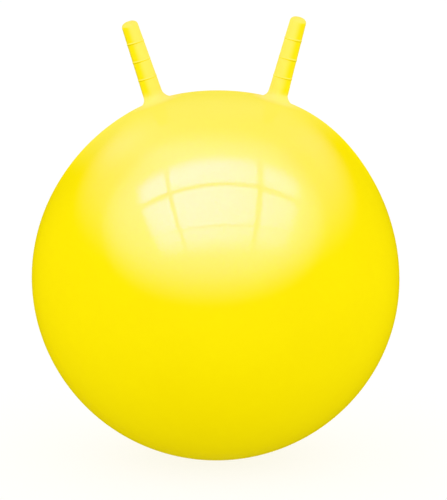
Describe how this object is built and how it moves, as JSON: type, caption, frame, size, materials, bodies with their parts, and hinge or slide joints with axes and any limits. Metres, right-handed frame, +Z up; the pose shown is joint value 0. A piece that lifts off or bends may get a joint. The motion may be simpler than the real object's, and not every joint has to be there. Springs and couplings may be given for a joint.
{
  "type": "hopper ball",
  "caption": "Blown-up yellow vinyl hopper ball that a child sits and bounces on, with ringed horns on top to hold and a push-in plug valve at the back.",
  "frame": {"origin": "middle of the flat on which the blown-up ball rests on the floor", "axes": "+Z up, the horns side by side along X with the left one at -X, the front at -Y and the valve at +Y"},
  "size_m": [0.5498, 0.5498, 0.6617],
  "materials": {
    "yellow_vinyl": "glossy soft vinyl, as moulded",
    "white_plug": "satin moulded plastic"
  },
  "bodies": {
    "ball": {"ball_envelope": "yellow_vinyl", "valve_seat": "yellow_vinyl"},
    "left_horn": {"left_horn": "yellow_vinyl"},
    "right_horn": {"right_horn": "yellow_vinyl"},
    "valve_plug": {"valve_plug": "white_plug"}
  },
  "joints": [
    {"name": "left_horn_flex", "type": "hinge", "parent": "ball", "child": "left_horn", "pos_m": [-0.0933, 0, 0.54921], "axis": [1, 0, 0], "range_deg": [-20, 20], "stiffness_Nm_per_rad": 4},
    {"name": "right_horn_flex", "type": "hinge", "parent": "ball", "child": "right_horn", "pos_m": [0.0933, 0, 0.54921], "axis": [1, 0, 0], "range_deg": [-20, 20], "stiffness_Nm_per_rad": 4},
    {"name": "valve_plug_pull", "type": "slide", "parent": "ball", "child": "valve_plug", "axis": [0, 0.866, 0.5], "range_m": [0, 0.035]}
  ]
}
